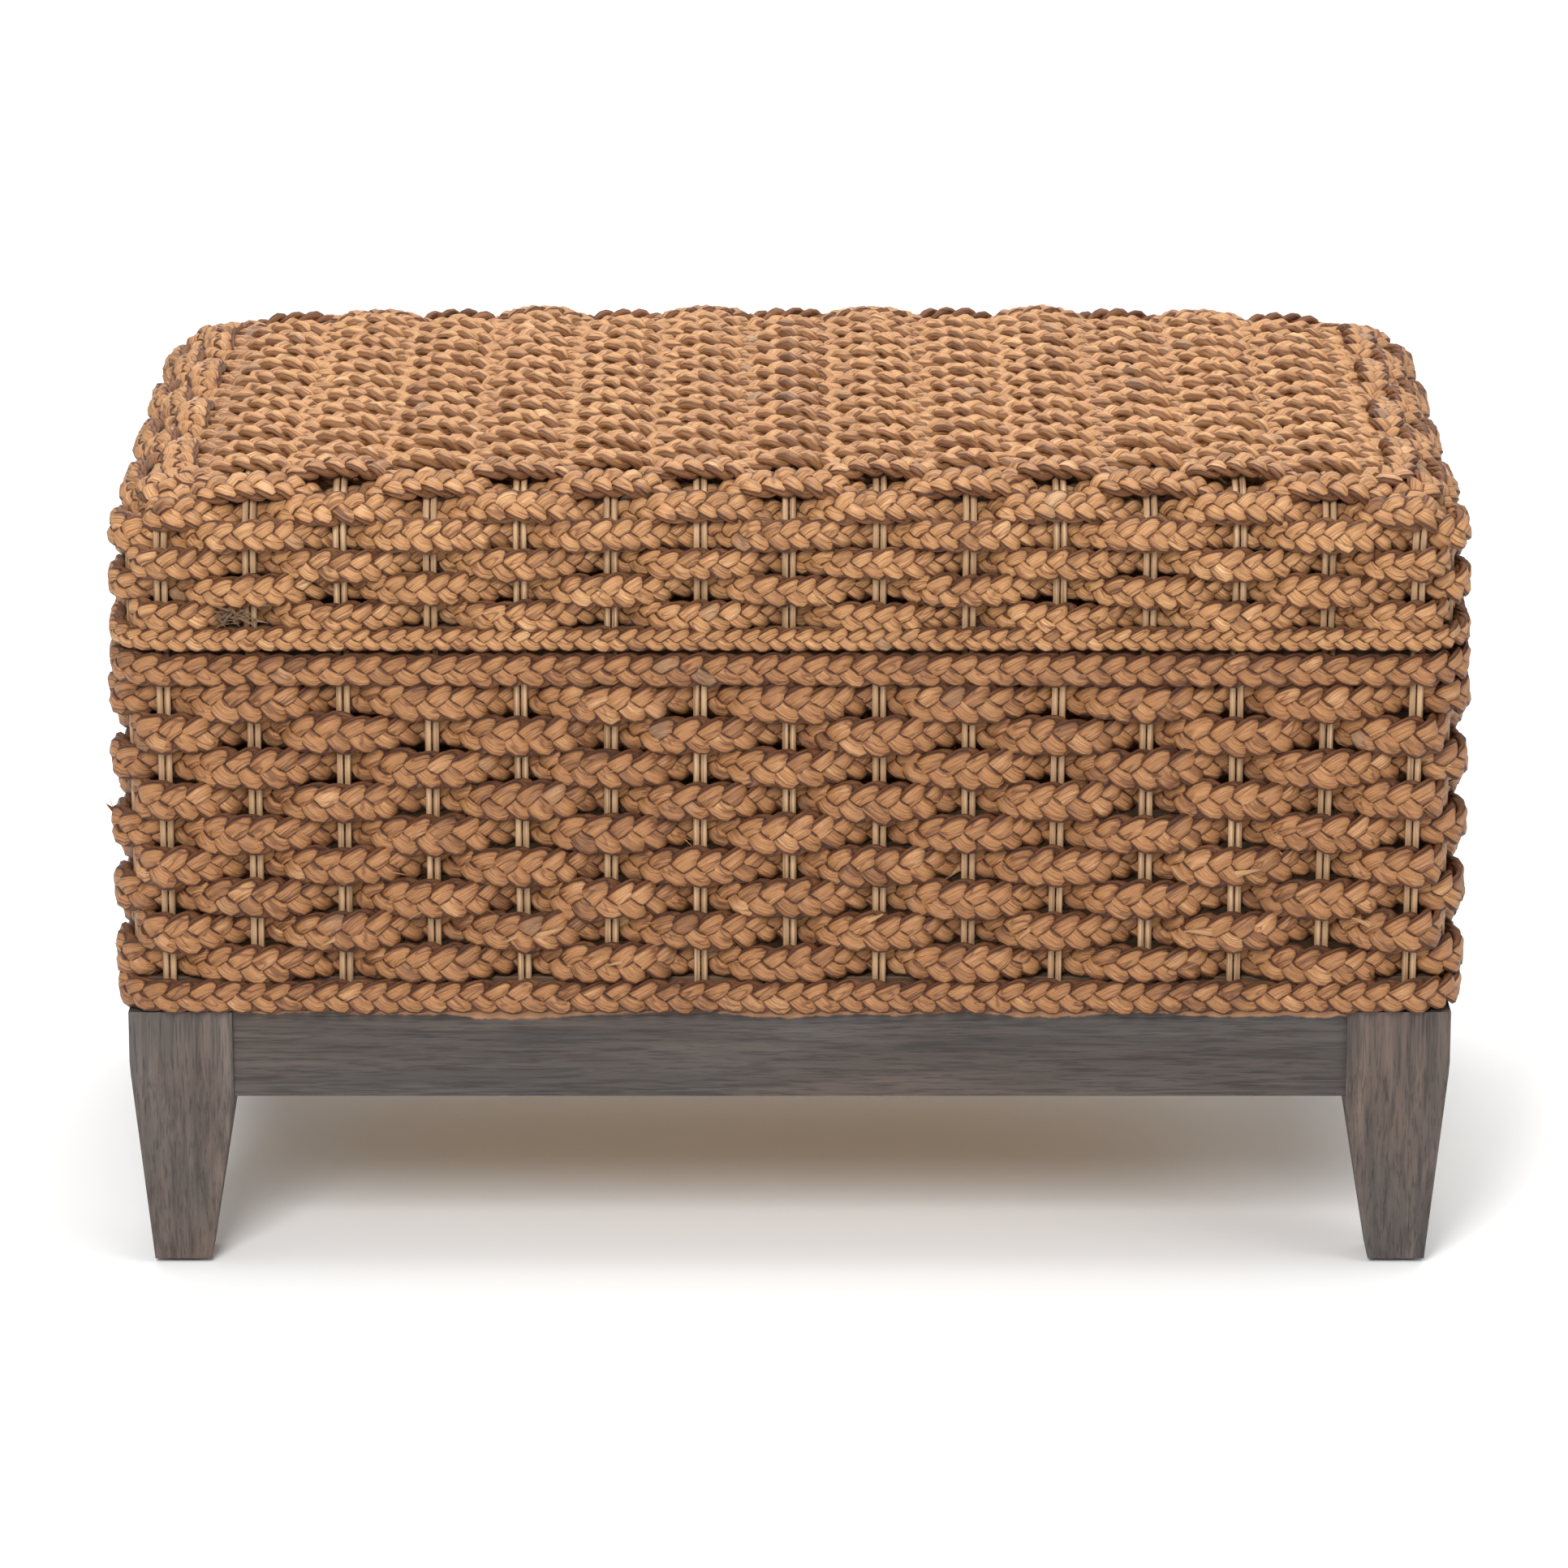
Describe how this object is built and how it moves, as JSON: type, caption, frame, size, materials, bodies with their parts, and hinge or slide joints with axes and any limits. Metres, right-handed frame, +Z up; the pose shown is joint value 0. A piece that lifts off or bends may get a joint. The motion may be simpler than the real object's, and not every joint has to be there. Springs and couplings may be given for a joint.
{
  "type": "wicker storage trunk",
  "caption": "Rectangular woven storage trunk with a pillow-shaped hinged lid, plaited rows over paired stakes, on a wooden base with tapered legs.",
  "frame": {"origin": "on the floor, under the middle of the trunk", "axes": "+X along the trunk's width, to the right seen from the front; front faces -Y, hinges at +Y; +Z up"},
  "size_m": [0.815, 0.495, 0.5018],
  "materials": {
    "stained_wood": "matt grey-brown stain, open grain, edges rubbed back",
    "raw_wood": "plain sanded wood",
    "plywood": "plain plywood",
    "braid": "matt plaited leaf with fine fibres",
    "rattan": "matt pale rattan core",
    "steel": "zinc plated, satin",
    "brass": "aged brass plating, satin"
  },
  "bodies": {
    "trunk": {"leg_front_left": "stained_wood", "leg_front_right": "stained_wood", "leg_rear_left": "stained_wood", "leg_rear_right": "stained_wood", "apron_front": "stained_wood", "apron_rear": "stained_wood", "apron_left": "stained_wood", "apron_right": "stained_wood", "base_cleats": "raw_wood", "corner_braces": "raw_wood", "brace_bolts": "steel", "foot_glides": "steel", "apron_dowels": "raw_wood", "basket_screws": "brass", "bottom_rails": "raw_wood", "top_rails": "raw_wood", "corner_posts": "raw_wood", "floor_panel": "plywood", "stakes_front_rear": "rattan", "stakes_sides": "rattan", "body_border_bottom": "braid", "body_row_1": "braid", "body_row_2": "braid", "body_row_3": "braid", "body_row_4": "braid", "body_row_5": "braid", "body_row_6": "braid", "body_row_7": "braid", "body_row_8": "braid", "body_row_9": "braid", "body_border_top": "braid", "hinge_body_leaves": "brass", "hinge_pins": "brass", "hinge_body_screws": "brass", "stay_body_pivots": "steel"},
    "lid": {"lid_rails": "raw_wood", "lid_posts": "raw_wood", "lid_board": "plywood", "lid_board_screws": "brass", "lid_stakes_long": "rattan", "lid_stakes_short": "rattan", "lid_border": "braid", "lid_row_1": "braid", "lid_row_2": "braid", "lid_row_3": "braid", "lid_shoulder_1": "braid", "lid_shoulder_2": "braid", "lid_shoulder_3": "braid", "lid_shoulder_4": "braid", "lid_top_braids": "braid", "hinge_lid_leaves": "brass", "hinge_lid_screws": "brass", "stay_lid_pivots": "steel"},
    "stay_left_lower": {"stay_left_lower": "steel"},
    "stay_left_upper": {"stay_left_upper": "steel"},
    "stay_right_lower": {"stay_right_lower": "steel"},
    "stay_right_upper": {"stay_right_upper": "steel"}
  },
  "joints": [
    {"name": "lid_hinge", "type": "hinge", "parent": "trunk", "child": "lid", "pos_m": [0, 0.244, 0.38705], "axis": [-1, 0, 0], "range_deg": [0, 100]},
    {"name": "stay_left_lower_pivot", "type": "hinge", "parent": "trunk", "child": "stay_left_lower", "pos_m": [-0.3685, 0.09448, 0.37505], "axis": [-1, 0, 0], "range_deg": [0, 100]},
    {"name": "stay_left_elbow", "type": "hinge", "parent": "stay_left_lower", "child": "stay_left_upper", "pos_m": [-0.366, -0.05531, 0.38305], "axis": [-1, 0, 0], "range_deg": [-100, 0]},
    {"name": "stay_right_lower_pivot", "type": "hinge", "parent": "trunk", "child": "stay_right_lower", "pos_m": [0.3685, 0.09448, 0.37505], "axis": [-1, 0, 0], "range_deg": [0, 100]},
    {"name": "stay_right_elbow", "type": "hinge", "parent": "stay_right_lower", "child": "stay_right_upper", "pos_m": [0.366, -0.05531, 0.38305], "axis": [-1, 0, 0], "range_deg": [-100, 0]}
  ],
  "couplings": [
    {"joint": "stay_left_lower_pivot", "follows": "lid_hinge", "ratio": 1},
    {"joint": "stay_left_elbow", "follows": "lid_hinge", "ratio": -1},
    {"joint": "stay_right_lower_pivot", "follows": "lid_hinge", "ratio": 1},
    {"joint": "stay_right_elbow", "follows": "lid_hinge", "ratio": -1}
  ]
}
